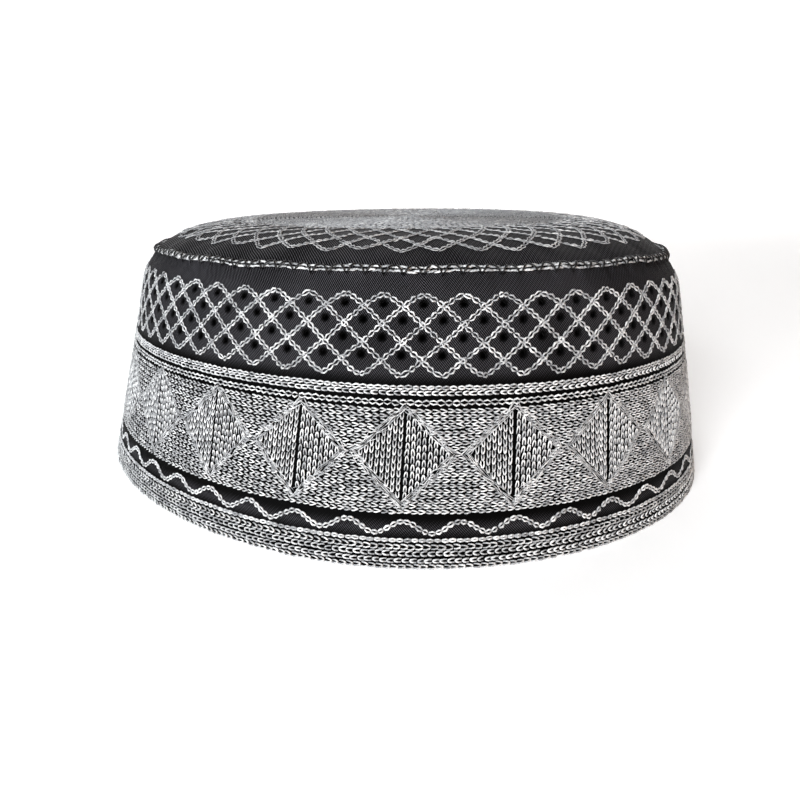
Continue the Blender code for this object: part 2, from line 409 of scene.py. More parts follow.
def strands(start, end, normal, stations, across, rise, girth, tint):
    """Closed spindles of thread from start to end: rings of four sides at the stations between pointed tips.

    A ring's middle is start + t (end - start) + across side + rise normal, and side = normal x (end - start).
    The thread lies flat: it is girth wide and THREAD_FLATNESS girth high on each side of its middle.
    across, rise, girth and tint are (threads, stations) or one row for all. Returns points, corners, first
    corners, uv and tint.
    """
    count, rings = len(start), len(stations) - 2
    run = end - start
    length = np.linalg.norm(run, axis=1, keepdims=True)
    side = np.cross(normal, run / length)
    side /= np.linalg.norm(side, axis=1, keepdims=True)
    shape = (count, rings + 2)
    across, rise, girth = (np.broadcast_to(item, shape)[..., None] for item in (across, rise, girth))
    middle = start[:, None] + run[:, None] * np.asarray(stations)[None, :, None]
    middle = middle + side[:, None] * across + normal[:, None] * rise
    around = np.arange(4) * TURN / 4 + TURN / 8
    flat = THREAD_FLATNESS * normal[:, None, None] * np.sin(around)[:, None]
    ring = side[:, None, None] * np.cos(around)[:, None] + flat
    body = middle[:, 1:-1, None] + ring * girth[:, 1:-1, None]
    points = np.concatenate([middle[:, :1], body.reshape(count, rings * 4, 3), middle[:, -1:]], axis=1)
    size = rings * 4 + 2
    corners, starts, place = [], [], []
    turn = np.asarray(stations, float)

    def face(items, spots):
        starts.append(len(corners))
        corners.extend(items)
        place.extend(spots)

    for k in range(4):
        after = (k + 1) % 4
        face((0, 1 + after, 1 + k), ((turn[0], k + 0.5), (turn[1], k + 1), (turn[1], k)))
        for level in range(rings - 1):
            low, high = 1 + 4 * level, 5 + 4 * level
            near, far = turn[level + 1], turn[level + 2]
            face(
                (low + k, low + after, high + after, high + k),
                ((near, k), (near, k + 1), (far, k + 1), (far, k)),
            )
        last = 1 + 4 * (rings - 1)
        face((last + k, last + after, size - 1), ((turn[-2], k), (turn[-2], k + 1), (turn[-1], k + 0.5)))
    corners, starts, place = np.array(corners), np.array(starts), np.array(place, float)
    loops = (corners[None] + (np.arange(count) * size)[:, None]).ravel()
    firsts = (starts[None] + (np.arange(count) * len(corners))[:, None]).ravel()
    uv = np.broadcast_to(place, (count, *place.shape)).copy()
    uv[..., 0] *= length
    uv[..., 1] *= 0.25
    shade = np.repeat(np.broadcast_to(tint, (count, rings + 2)), [1] + [4] * rings + [1], axis=1).ravel()
    return points.reshape(-1, 3), loops, firsts, uv.reshape(-1, 2), shade


def join_parts(parts):
    """Strings several strand arrays together into one."""
    points, loops, firsts, uv, shade = [], [], [], [], []
    vertices = corners = 0
    for part in parts:
        points.append(part[0])
        loops.append(part[1] + vertices)
        firsts.append(part[2] + corners)
        uv.append(part[3])
        shade.append(part[4])
        vertices += len(part[0])
        corners += len(part[1])
    return [np.concatenate(item) for item in (points, loops, firsts, uv, shade)]


def chain(
    place, starts, ends, width, girth, rng, lift=0.00008, form="ring", loose=0.07, tone=0.5, stagger=0.0
):
    """Links of chain stitch from starts to ends, both (links, 2) in the surface's own coordinates.

    Each link is two threads that leave one point high up, part to half the width, and dip under the next.
    """
    count = len(starts)
    base = lift - CLOTH_DROP
    begin, finish = laid(place, starts, base), laid(place, ends, base)
    middle = 0.5 * (starts + ends)
    normal = outward(place, middle[:, 0], middle[:, 1], base)
    jitter = rng.normal(0, loose * 0.001, (2, count, 3))
    begin, finish = begin + jitter[0], finish + jitter[1]
    reach = 0.5 * width - girth
    reach = reach * (1 + loose * rng.normal(0, 1, (count, 1)))
    stations, parting, rise, thick, light = (np.array(item) for item in LINK_FORMS[form].values())
    parts = []
    tint = np.clip(tone + LINK_TONES * rng.normal(0, 1, count), 0, 1)
    for hand in (-1, 1):
        fat = girth * (1 + GIRTHS * rng.normal(0, 1, (count, 1))) * thick
        # painted highlight and painted shade: each thread's tone plus the form's light, lighter on the bulge
        # and darker at the ends that dip under the next link
        shade = np.clip((tint + PLY_TONES * rng.normal(0, 1, count))[:, None] + light, 0, 1)
        along = hand * stagger * (finish - begin)
        across = hand * reach * parting
        high = rise * LINK_RISE
        parts.append(strands(begin + along, finish + along, normal, stations, across, high, fat, shade))
    return join_parts(parts)


def stitched(name, parts, material, nodes=()):
    """Makes one piece of several strand arrays, moved to the standing cap."""
    points, loops, firsts, uv, shade = join_parts(parts)
    piece = mesh_object(name, settled(points), loops, firsts, uv, shade)
    return finish_piece(piece, material, nodes)


def ring_links(level, count, phase=0.0):
    """Starts and ends of the links of a level ring."""
    angle = FRONT + TURN * (np.arange(count + 1) + phase) / count
    line = np.stack([angle, np.full(count + 1, level)], axis=1)
    return line[:-1], line[1:]


def path_links(place, angle, level, pitch, slide=0.0):
    """Cuts a finely drawn path of (angle, level) into links of about the pitch, all but its ends slid."""
    points = place(angle, level)
    run = np.concatenate([[0], np.cumsum(np.linalg.norm(np.diff(points, axis=0), axis=1))])
    count = max(int(round(run[-1] / pitch)), 1)
    cuts = np.linspace(0, run[-1], count + 1)
    cuts[1:-1] += slide * run[-1] / count
    line = np.stack([np.interp(cuts, run, angle), np.interp(cuts, run, level)], axis=1)
    return line[:-1], line[1:]


def repeated(links, turns):
    """The same links at each of several turns about the axis."""
    starts, ends = links
    shift = np.stack([turns, np.zeros_like(turns)], axis=1)[:, None]
    return (starts[None] + shift).reshape(-1, 2), (ends[None] + shift).reshape(-1, 2)


def lattice_links(place, levels, count, phase, pitch):
    """Two families of slanting lines between the first and the last level, rounded where they turn back.

    A line's level number is sqrt(t^2 + e^2) - sqrt((n - t)^2 + e^2) + n - t, for t from 0 to the last one, n.
    """
    last = len(levels) - 1
    t = np.linspace(0, last, 240)
    top, foot = np.sqrt(t**2 + LATTICE_ROUNDING**2), np.sqrt((last - t) ** 2 + LATTICE_ROUNDING**2)
    level = np.interp(top - (foot - (last - t)), np.arange(last + 1), levels)
    half = 0.5 * TURN / count
    turns = FRONT + TURN * (np.arange(count) + phase) / count
    both = []
    for hand in (-1, 1):
        for first, slide in enumerate(LATTICE_SLIDES):
            links = path_links(place, hand * half * t, level, pitch, slide)
            both.append(repeated(links, turns[first :: len(LATTICE_SLIDES)]))
    return [np.concatenate(item) for item in zip(*both)]


def node(tree, kind, x, y, **values):
    """A new shader node at this place in the tree."""
    made = tree.nodes.new(kind)
    made.location = (x, y)
    for key, value in values.items():
        setattr(made, key, value)
    return made


def new_material(name):
    """A new material, its tree and its main shader."""
    made = bpy.data.materials.new(name)
    made.use_nodes = True
    tree = made.node_tree
    shader = tree.nodes["Principled BSDF"]
    return made, tree, shader


def math_node(tree, operation, first, second, x, y, third=None):
    """The result of a sum on sockets or plain numbers."""
    made = node(tree, "ShaderNodeMath", x, y, operation=operation)
    for socket, value in zip(made.inputs, (first, second, third)):
        if hasattr(value, "links"):
            tree.links.new(value, socket)
        elif value is not None:
            socket.default_value = value
    return made.outputs[0]


def ramp(tree, source, stops, x, y):
    """The colour of a ramp through stops of (place, colour)."""
    made = node(tree, "ShaderNodeValToRGB", x, y)
    elements = made.color_ramp.elements
    while len(elements) < len(stops):
        elements.new(0.5)
    for element, (place, colour) in zip(elements, stops):
        element.position = place
        element.color = colour
    tree.links.new(source, made.inputs[0])
    return made.outputs[0]


def grey(value):
    """A grey with a full alpha."""
    return (value, value, value, 1.0)


def shaded(colour, share=1.0):
    """A colour times share, with a full alpha."""
    return tuple(share * part for part in colour) + (1.0,)


def cloth_material(colours, sizes):
    """Black satin twill: fine slanting ribs broken into short floats, lighter on the ribs' tops and in cloudy
    patches as painted sheen, and darker where the tint is low, as painted shade under stitches and round
    eyelets.
    """
    made, tree, shader = new_material("black satin twill")
    links = tree.links
    cut = node(tree, "ShaderNodeUVMap", -1500, 0, uv_map="cut")
    split = node(tree, "ShaderNodeSeparateXYZ", -1320, 0)
    links.new(cut.outputs[0], split.inputs[0])
    u, v = split.outputs[0], split.outputs[1]
    rib_turn = TURN / sizes.weave_pitch
    slant = math_node(tree, "ADD", math_node(tree, "MULTIPLY", u, 1.08, -1240, 180), v, -1140, 120)
    rib = math_node(tree, "SINE", math_node(tree, "MULTIPLY", slant, rib_turn, -960, 120), 0.0, -780, 120)
    cross = math_node(tree, "SUBTRACT", u, v, -1140, -60)
    pick = math_node(tree, "MULTIPLY", cross, rib_turn * 0.55, -960, -60)
    pick = math_node(tree, "SINE", pick, 0.0, -780, -60)
    weave = math_node(tree, "ADD", rib, math_node(tree, "MULTIPLY", pick, 0.15, -600, -60), -420, 60)
    # painted sheen: cloudy noise makes the cloth lighter in patches
    spots = node(tree, "ShaderNodeTexCoord", -1500, -360)
    cloudy = node(tree, "ShaderNodeTexNoise", -1140, -360)
    cloudy.inputs["Scale"].default_value = 55.0
    cloudy.inputs["Detail"].default_value = 4.0
    links.new(spots.outputs["Object"], cloudy.inputs["Vector"])
    level = math_node(tree, "MULTIPLY_ADD", weave, 0.50, -240, 60, 0.5)
    sheen_patches = math_node(tree, "MULTIPLY_ADD", cloudy.outputs["Fac"], 0.5, -240, -200, -0.25)
    both = math_node(tree, "ADD", level, sheen_patches, -60, 0)
    # painted shade from the tint: the cloth is darker under stitches and round the eyelets' pits
    painted_shade = node(tree, "ShaderNodeAttribute", -240, -420, attribute_name="tint")
    both = math_node(tree, "MULTIPLY", both, painted_shade.outputs["Fac"], 0, 120)
    cloth = colours.cloth
    # the weave's ribs, with painted sheen: the rib tops run up to 21 times the cloth colour
    stops = ((0.3, shaded(cloth, 0.05)), (0.62, shaded(cloth, 0.6)), (1.0, shaded(cloth, 21.0)))
    links.new(ramp(tree, both, stops, 120, 60), shader.inputs["Base Color"])
    rough = ramp(tree, both, ((0.0, grey(0.62)), (1.0, grey(0.42))), 120, -200)
    links.new(rough, shader.inputs["Roughness"])
    bump = node(tree, "ShaderNodeBump", 120, -420)
    bump.inputs["Strength"].default_value = 0.55
    bump.inputs["Distance"].default_value = 0.00006
    links.new(weave, bump.inputs["Height"])
    links.new(bump.outputs[0], shader.inputs["Normal"])
    shader.inputs["Specular IOR Level"].default_value = 0.04
    return made


def thread_material(colours, sizes):
    """Silver-grey lustrous thread: two plies twisted together, lighter and darker from stitch to stitch, with
    painted highlight and painted shade along each link from the tint.
    """
    made, tree, shader = new_material("silver thread")
    links = tree.links
    cut = node(tree, "ShaderNodeUVMap", -1320, 0, uv_map="cut")
    split = node(tree, "ShaderNodeSeparateXYZ", -1140, 0)
    links.new(cut.outputs[0], split.inputs[0])
    along = math_node(tree, "MULTIPLY", split.outputs[0], 1.0 / sizes.twist_pitch, -960, 100)
    slant = math_node(tree, "ADD", along, split.outputs[1], -780, 60)
    ply = math_node(tree, "SINE", math_node(tree, "MULTIPLY", slant, TURN, -600, 60), 0.0, -420, 60)
    stitch = node(tree, "ShaderNodeAttribute", -780, -200, attribute_name="tint")
    spots = node(tree, "ShaderNodeTexCoord", -1320, -420)
    cloudy = node(tree, "ShaderNodeTexNoise", -960, -420)
    cloudy.inputs["Scale"].default_value = 240.0
    cloudy.inputs["Detail"].default_value = 3.0
    links.new(spots.outputs["Object"], cloudy.inputs["Vector"])
    shade = math_node(tree, "MULTIPLY_ADD", ply, 0.12, -240, 60, stitch.outputs["Fac"])
    mottle = math_node(tree, "MULTIPLY_ADD", cloudy.outputs["Fac"], 0.5, -240, -200, -0.25)
    level = math_node(tree, "ADD", shade, mottle, -60, 0)
    stops = ((0.1, shaded(colours.thread_dark)), (0.85, shaded(colours.thread_light)))
    links.new(ramp(tree, level, stops, 120, 60), shader.inputs["Base Color"])
    bump = node(tree, "ShaderNodeBump", 120, -300)
    bump.inputs["Strength"].default_value = 0.5
    bump.inputs["Distance"].default_value = 0.00008
    links.new(ply, bump.inputs["Height"])
    links.new(bump.outputs[0], shader.inputs["Normal"])
    shader.inputs["Roughness"].default_value = 0.40
    shader.inputs["Specular IOR Level"].default_value = 0.4
    return made


def black_thread_material(colours):
    """The matt black sewing thread of the seam, with the same twist."""
    made, tree, shader = new_material("black sewing thread")
    cut = node(tree, "ShaderNodeUVMap", -900, 0, uv_map="cut")
    wave = node(tree, "ShaderNodeTexWave", -600, 0, bands_direction="DIAGONAL")
    wave.inputs["Scale"].default_value = 700.0
    tree.links.new(cut.outputs[0], wave.inputs["Vector"])
    stops = ((0.0, shaded(colours.cloth)), (1.0, shaded(colours.cloth, 1.6)))
    tree.links.new(ramp(tree, wave.outputs["Fac"], stops, -300, 0), shader.inputs["Base Color"])
    shader.inputs["Roughness"].default_value = 0.5
    return made


def floor_material(colours):
    """A plain pale studio floor with a faint unevenness, that also glows faintly as painted light."""
    made, tree, shader = new_material("pale floor")
    spots = node(tree, "ShaderNodeTexCoord", -900, 0)
    noise = node(tree, "ShaderNodeTexNoise", -600, 0)
    noise.inputs["Scale"].default_value = 6.0
    tree.links.new(spots.outputs["Object"], noise.inputs["Vector"])
    stops = ((0.3, shaded(colours.floor, 0.98)), (0.7, shaded(colours.floor)))
    tree.links.new(ramp(tree, noise.outputs["Fac"], stops, -300, 0), shader.inputs["Base Color"])
    shader.inputs["Roughness"].default_value = 0.8
    # painted light: the floor glows, though it is no lamp, which keeps it white and lights the cap from below
    shader.inputs["Emission Color"].default_value = (1.0, 1.0, 1.0, 1.0)
    shader.inputs["Emission Strength"].default_value = 0.21
    return made


def finishes(context):
    """The cap's finishes, made once and shared by its pieces."""
    colours, sizes = context.scene.kufi_colours, context.scene.kufi_sizes
    makers = {
        "black satin twill": lambda: cloth_material(colours, sizes),
        "silver thread": lambda: thread_material(colours, sizes),
        "black sewing thread": lambda: black_thread_material(colours),
        "pale floor": lambda: floor_material(colours),
    }
    return {name: bpy.data.materials.get(name) or make() for name, make in makers.items()}


class KufiSizes(PropertyGroup):
    """Sizes of the stitching and the cloth"""

    link_length: FloatProperty(
        name="Link length", description="Length of one chain stitch", default=0.00172, unit="LENGTH"
    )
    thread_radius: FloatProperty(
        name="Thread radius", description="Half the width of a stitched thread", default=0.00023,
        unit="LENGTH",
    )
    lattice_width: FloatProperty(
        name="Lattice width", description="Width of a chain in the lattices", default=0.00146, unit="LENGTH"
    )
    column_pitch: FloatProperty(
        name="Column pitch", description="From one upright row of a diamond to the next", default=0.00130,
        unit="LENGTH",
    )
    weave_pitch: FloatProperty(
        name="Weave pitch", description="From one rib of the twill to the next", default=0.00060,
        unit="LENGTH",
    )
    twist_pitch: FloatProperty(
        name="Twist pitch", description="Length of one turn of the thread's twist", default=0.0008,
        unit="LENGTH",
    )
    eyelet_radius: FloatProperty(
        name="Eyelet radius", description="Half the width of a punched eyelet", default=0.00056, unit="LENGTH"
    )
    cloth_thickness: FloatProperty(
        name="Cloth thickness", description="Thickness of the stiffened cloth", default=0.0013, unit="LENGTH"
    )
    pillow: FloatProperty(
        name="Pillow", description="How far the cloth swells between stitched lines", default=0.00016,
        unit="LENGTH",
    )
    band_lattice: IntProperty(
        name="Band lattice", description="Repeats of the band's lattice", default=58, min=8
    )
    waves: IntProperty(name="Waves", description="Repeats of the wave line", default=44, min=8)
    crown_lattice: IntProperty(
        name="Crown lattice", description="Repeats of the crown's lattice", default=50, min=8
    )


class KufiColours(PropertyGroup):
    """Colours of the cloth, the thread and the floor"""

    cloth: FloatVectorProperty(
        name="Cloth", description="Colour of the twill", subtype="COLOR", default=(0.0038, 0.0037, 0.0041)
    )
    thread_light: FloatVectorProperty(
        name="Thread, light", description="Colour of the lightest stitches", subtype="COLOR",
        default=(0.66, 0.66, 0.66),
    )
    thread_dark: FloatVectorProperty(
        name="Thread, dark", description="Colour of the darkest stitches", subtype="COLOR",
        default=(0.24, 0.244, 0.252),
    )
    floor: FloatVectorProperty(
        name="Floor", description="Colour of the studio floor", subtype="COLOR", default=(0.93, 0.93, 0.93)
    )


def band_heights():
    """Grid heights up the band: even below and above the lattice, CELL_STEPS to a row of eyelets in it."""
    low, high = EYELET_LEVELS[-1], EYELET_LEVELS[0]
    last = len(EYELET_LEVELS) - 1
    number = np.linspace(last, 0, CELL_STEPS * last + 1)
    lattice = np.interp(number, np.arange(last + 1), EYELET_LEVELS)
    below = np.linspace(BAND_FOOT, low, STEPS_BELOW + 1)[:-1]
    above = np.linspace(high, SEAM_HEIGHT - BAND_HEAD_GAP, STEPS_ABOVE + 1)[1:]
    return np.concatenate([below, lattice, above])


def stitch_shading(height):
    """1 where the wall's cloth lies open, and a smaller share under rows of stitches as painted shade, blended
    over 0.6 mm.
    """
    belt = smooth_step(height, BELT_FOOT - SHADE_BLEND, BELT_FOOT + SHADE_BLEND)
    belt = belt * smooth_step(-height, -UPPER_ROWS_HEAD - SHADE_BLEND, -UPPER_ROWS_HEAD + SHADE_BLEND)
    rim = smooth_step(-height, -RIM_ROWS_HEAD - SHADE_BLEND, -RIM_ROWS_HEAD + SHADE_BLEND)
    return 1 - (1 - SHADED_UNDER_STITCHES) * np.clip(belt + rim, 0, 1)


def band_cloth(sizes):
    """The band as a grid of angle and height, pierced by eyelets.

    In the lattice CELL_STEPS grid steps span half a repeat and one level. Round each eyelet the grid's square
    rings are drawn into circles: a point (a, b), whose larger part is s, moves towards r (a, b) / |(a, b)|,
    where r grows with s from the punched radius to EYELET_REACH. The faces inside the circle are left out.
    The cloth swells by pillow |sin sin| between the stitched lines, rises round an eyelet and sinks in it,
    and wrinkles below the seam by a product of two sines.
    """
    columns = 2 * CELL_STEPS * sizes.band_lattice
    heights = band_heights()
    turn = TURN / sizes.band_lattice
    across, up = np.meshgrid(np.arange(columns + 1) / CELL_STEPS, heights, indexing="xy")
    levels = np.arange(len(EYELET_LEVELS) - 1, -1, -1.0)
    number = np.interp(up, EYELET_LEVELS[::-1], levels)
    stitch = np.interp(up, LATTICE_LEVELS[::-1], levels)
    inside = (up >= EYELET_LEVELS[-1] - 1e-9) & (up <= EYELET_LEVELS[0] + 1e-9)
    cell_x, cell_y = np.floor(across + 0.5), np.clip(np.floor(number + 0.5), 1, 4)
    part_x, part_y = 2 * (across - cell_x), 2 * (number - cell_y)
    eyed = inside & (np.mod(cell_x + cell_y, 2) == 1) & (np.abs(part_y) <= 1.001)
    size = np.maximum(np.abs(part_x), np.abs(part_y))
    half_x, half_y = 0.25 * turn * LATTICE_RADIUS, 0.5 * EYELET_STEP
    old_x, old_y = part_x * half_x, part_y * half_y
    length = np.maximum(np.hypot(old_x, old_y), 1e-9)
    punched = sizes.eyelet_radius * (1 + 0.14 * np.sin(12.9 * cell_x + 7.8 * cell_y))
    punched = punched * (1 + 0.10 * np.sin(3 * np.arctan2(part_y, part_x) + 2.1 * cell_x))
    grown = punched + (np.clip(size, 0.3333, 1) - 0.3333) / 0.6667 * (EYELET_REACH - punched)
    share = (1 - smooth_step(size, EYELET_SHARE, 0.98)) * eyed
    new_x = old_x + (old_x / length * grown - old_x) * share
    new_y = old_y + (old_y / length * grown - old_y) * share
    angle = FRONT + turn * LATTICE_PHASE + 0.5 * turn * (across + (new_x / half_x - part_x) / 2)
    height = up - (new_y - old_y)
    net = np.sin(0.5 * math.pi * (across + stitch)) * np.sin(0.5 * math.pi * (across - stitch))
    swell = sizes.pillow * np.where(inside, np.abs(net), 0)
    rim = np.hypot(new_x, new_y)
    lip = np.exp(-(((rim - sizes.eyelet_radius - EYELET_EDGE) / LIP_SPREAD) ** 2))
    swell = swell + eyed * EYELET_LIP * lip
    swell = swell - eyed * EYELET_SINK * np.exp(-((rim / (sizes.eyelet_radius + EYELET_EDGE)) ** 4))
    wrinkle = WRINKLE_DEPTH * np.exp(-(((SEAM_HEIGHT - up) / WRINKLE_REACH) ** 2))
    swell = swell + wrinkle * np.sin(WRINKLES[0] * angle) * np.sin(WRINKLES[1] * angle)
    points = on_wall(angle, height, swell - CLOTH_DROP)
    rows = len(heights)
    index = np.arange(rows * columns).reshape(rows, columns)
    right = np.roll(index, -1, axis=1)
    quads = np.stack([index[:-1], right[:-1], right[1:], index[1:]], axis=-1)
    hole = (eyed & (size <= EYELET_SHARE))[:, :columns]
    beside = np.roll(hole, -1, axis=1)
    gone = hole[:-1] & hole[1:] & beside[:-1] & beside[1:]
    flat = np.stack([(angle - FRONT) * CUT_RADIUS, height], axis=-1)
    corners = [flat[:-1, :-1], flat[:-1, 1:], flat[1:, 1:], flat[1:, :-1]]
    uv = np.stack(corners, axis=-2)[~gone]
    # painted shade: the cloth is darkened under rows of stitches and round the eyelets' pits
    tint = stitch_shading(height) * (1 - EYELET_SHADE * eyed * np.exp(-((rim / SHADE_REACH) ** 4)))
    return points[:, :columns].reshape(-1, 3), quads[~gone], uv, tint[:, :columns].ravel()


def walled(piece, thickness):
    """Gives a sheet its thickness, inwards."""
    wall = piece.modifiers.new("thickness", "SOLIDIFY")
    wall.thickness = thickness
    wall.offset = -1
    wall.use_even_offset = False
    return piece


class KUFI_OT_band_cloth(Operator):
    """The side band of stiffened black twill, pierced by an eyelet in each cell of its lattice"""

    bl_idname = "kufi.band_cloth"
    bl_label = "Band cloth"

    def execute(self, context):
        sizes = context.scene.kufi_sizes
        points, quads, uv, tint = band_cloth(sizes)
        loops, firsts = quads_to_loops(quads)
        piece = mesh_object("cloth_side_band", settled(points), loops, firsts, uv, tint)
        walled(piece, sizes.cloth_thickness)
        finish_piece(piece, finishes(context)["black satin twill"], ["side_band"])
        return {"FINISHED"}


def crown_cloth():
    """The crown as rings of points from the middle to the seam, then turned down inside the band.

    Its height also has fine gathers near the seam: exp(-((r - GATHER_PLACE s) / GATHER_SPREAD s)^2) times a
    sum of sines, where s is the seam's radius. The uv is (x, 0.45 y), so that the twill runs steeply.
    """
    columns, rings = 264, 34
    share = np.sin(0.5 * math.pi * np.linspace(0.02, 1, rings))
    radius = (SEAM_RADIUS - SEAM_SINK) * share
    angle = TURN * np.arange(columns) / columns
    ring, around = np.meshgrid(radius, angle, indexing="ij")
    near = np.exp(-(((ring - GATHER_PLACE * SEAM_RADIUS) / (GATHER_SPREAD * SEAM_RADIUS)) ** 2))
    gather = sum(depth * np.sin(count * around + phase) for depth, count, phase in CROWN_GATHERS)
    points = on_crown(around, ring, near * gather - CLOTH_DROP)
    tuck = points[-1] * np.array([TUCK_IN, TUCK_IN, 1.0]) - np.array([0, 0, TUCK_DOWN])
    points = np.concatenate([points, tuck[None]])
    total = len(points)
    index = np.arange(total * columns).reshape(total, columns)
    right = np.roll(index, -1, axis=1)
    quads = np.stack([index[:-1], index[1:], right[1:], right[:-1]], axis=-1).reshape(-1, 4)
    middle = total * columns
    fan = np.stack([np.full(columns, middle), index[0], right[0]], axis=-1)
    centre = on_crown(np.zeros(1), np.zeros(1), -CLOTH_DROP)
    points = np.concatenate([points.reshape(-1, 3), centre])
    loops = np.concatenate([quads.ravel(), fan.ravel()])
    firsts = np.concatenate([np.arange(len(quads)) * 4, quads.size + np.arange(columns) * 3])
    away = np.hypot(points[:, 0], points[:, 1])
    # painted shade: the crown's cloth is darkened under the field's stitches
    tint = SHADED_UNDER_STITCHES + (1 - SHADED_UNDER_STITCHES) * smooth_step(away, FIELD_RADIUS - 0.001, FIELD_RADIUS)
    return points, loops, firsts, points[loops][:, :2] * np.array([1.0, 0.45]), tint


class KUFI_OT_crown_cloth(Operator):
    """The crown of black twill, gathered a little into the seam"""

    bl_idname = "kufi.crown_cloth"
    bl_label = "Crown cloth"

    def execute(self, context):
        sizes = context.scene.kufi_sizes
        points, loops, firsts, uv, tint = crown_cloth()
        piece = mesh_object("cloth_crown", settled(points), loops, firsts, uv, tint)
        walled(piece, sizes.cloth_thickness)
        finish_piece(piece, finishes(context)["black satin twill"], ["crown"])
        return {"FINISHED"}


class KUFI_OT_level_rows(Operator):
    """The level rows of chain stitch round the rim and above the belt"""

    bl_idname = "kufi.level_rows"
    bl_label = "Level rows"

    def execute(self, context):
        sizes = context.scene.kufi_sizes
        rng = np.random.default_rng(SEED)
        thread = finishes(context)["silver thread"]
        count = round(TURN * RIM_ROW_RADIUS / sizes.link_length)
        girth = 1.05 * sizes.thread_radius
        rim = []
        for row, (height, width, form, backwards) in enumerate(RIM_ROWS):
            starts, ends = ring_links(height, count, 0.37 * row)
            if backwards:
                starts, ends = ends, starts
            rim.append(chain(on_wall, starts, ends, width, girth, rng, form=form, tone=0.42))
        stitched("stitches_rim_rows", rim, thread, ["rim_row_upper", "rim_rows_middle", "rim_rows_lower"])
        count = round(TURN * UPPER_ROW_RADIUS / sizes.link_length)
        upper = []
        for row, (height, width, form) in enumerate(UPPER_ROWS):
            starts, ends = ring_links(height, count, 0.41 * row)
            upper.append(chain(on_wall, starts, ends, 1.06 * width, sizes.thread_radius, rng, form=form))
        stitched("stitches_upper_rows", upper, thread, ["upper_double_row", "upper_single_row"])
        return {"FINISHED"}


def diamond_distance(angle, height):
    """|sideways| / half width + |up| / half height from the nearest diamond's middle: inside it below 1."""
    turn = TURN / DIAMONDS
    away = np.mod(angle - FRONT - DIAMOND_PHASE * turn + 0.5 * turn, turn) - 0.5 * turn
    reach = DIAMOND_HALF / float(wall_radius(DIAMOND_WAIST))
    tall = np.where(height > DIAMOND_WAIST, DIAMOND_HEAD - DIAMOND_WAIST, DIAMOND_WAIST - DIAMOND_FOOT)
    return np.abs(away) / reach + np.abs(height - DIAMOND_WAIST) / tall


class KUFI_OT_belt_ground(Operator):
    """The belt's ground of level rows, left out where the diamonds stand"""

    bl_idname = "kufi.belt_ground"
    bl_label = "Belt ground"

    def execute(self, context):
        sizes = context.scene.kufi_sizes
        rng = np.random.default_rng(SEED + 1)
        pitch = (BELT_HEAD - BELT_FOOT) / BELT_ROWS
        girth = 0.93 * sizes.thread_radius
        parts = []
        for row in range(BELT_ROWS):
            height = BELT_FOOT + (row + 0.5) * pitch
            count = round(TURN * float(wall_radius(height)) / sizes.link_length)
            ends, starts = ring_links(height, count, rng.random())
            keep = diamond_distance(0.5 * (ends[:, 0] + starts[:, 0]), height) > GROUND_START
            starts, ends = starts[keep], ends[keep]
            parts.append(chain(on_wall, starts, ends, pitch * 1.02, girth, rng, form="drop", tone=0.32))
        nodes = ["belt_triangles_upper", "belt_triangles_lower"]
        stitched("stitches_belt_ground", parts, finishes(context)["silver thread"], nodes)
        return {"FINISHED"}


def diamond_columns(sizes, slit):
    """One diamond's upright rows with a slit between: the left ones run up and the right ones run down."""
    radius = float(wall_radius(DIAMOND_WAIST))
    upper, lower = DIAMOND_HEAD - DIAMOND_WAIST, DIAMOND_WAIST - DIAMOND_FOOT
    starts, ends = [], []
    for hand in (-1, 1):
        for column in range(COLUMNS_A_SIDE):
            away = slit + (column + 0.5) * sizes.column_pitch
            room = 1 - away / DIAMOND_HALF - EDGE_ZONE
            if room < SHORTEST_COLUMN:
                continue
            low, high = DIAMOND_WAIST - lower * room, DIAMOND_WAIST + upper * room
            count = max(int(round((high - low) / (0.96 * sizes.link_length))), 1)
            line = np.linspace(low, high, count + 1)
            line = line[::-1] if hand > 0 else line
            rail = np.stack([np.full(count + 1, hand * away / radius), line], axis=1)
            starts.append(rail[:-1])
            ends.append(rail[1:])
    return np.concatenate(starts), np.concatenate(ends)


def edge_threads(turns, rng):
    """Fine threads along each diamond's four edges, side by side in a soft border, in overlapping lengths."""
    reach = DIAMOND_HALF / float(wall_radius(DIAMOND_WAIST))
    lift = 0.00022 - CLOTH_DROP
    share = np.linspace(0, 1, EDGE_PIECES + 1)
    parts = []
    for tip in (DIAMOND_HEAD, DIAMOND_FOOT):
        for hand in (-1, 1):
            for lane in range(EDGE_LANES):
                grow = 1.02 - (EDGE_ZONE + 0.03) * lane / (EDGE_LANES - 1)
                angle = hand * reach * share * grow
                height = DIAMOND_WAIST + (tip - DIAMOND_WAIST) * (1 - share) * grow
                height = np.minimum(height, BELT_HEAD + 0.0005)
                line = np.stack([angle, height], axis=1)
                starts, ends = repeated((line[:-1], line[1:]), turns)
                begin, finish = laid(on_wall, starts, lift), laid(on_wall, ends, lift)
                middle = 0.5 * (starts + ends)
                normal = outward(on_wall, middle[:, 0], middle[:, 1])
                one_each = (len(begin), 1)
                wander = rng.normal(0, EDGE_WANDER, one_each) * np.array([1, 0.7, -0.4, -1])
                rise = np.array([-0.0001, 0.00012, 0.00012, -0.0001]) + rng.normal(0, 0.00006, one_each)
                girth = EDGE_THREAD * np.array([0, 0.9, 0.9, 0]) * (1 + 0.12 * rng.normal(0, 1, one_each))
                shade = np.clip(0.34 + 0.26 * rng.normal(0, 1, one_each), 0, 1)
                stations = (-0.2, 0.2, 0.8, 1.2)
                parts.append(strands(begin, finish, normal, stations, wander, rise, girth, shade))
    return parts


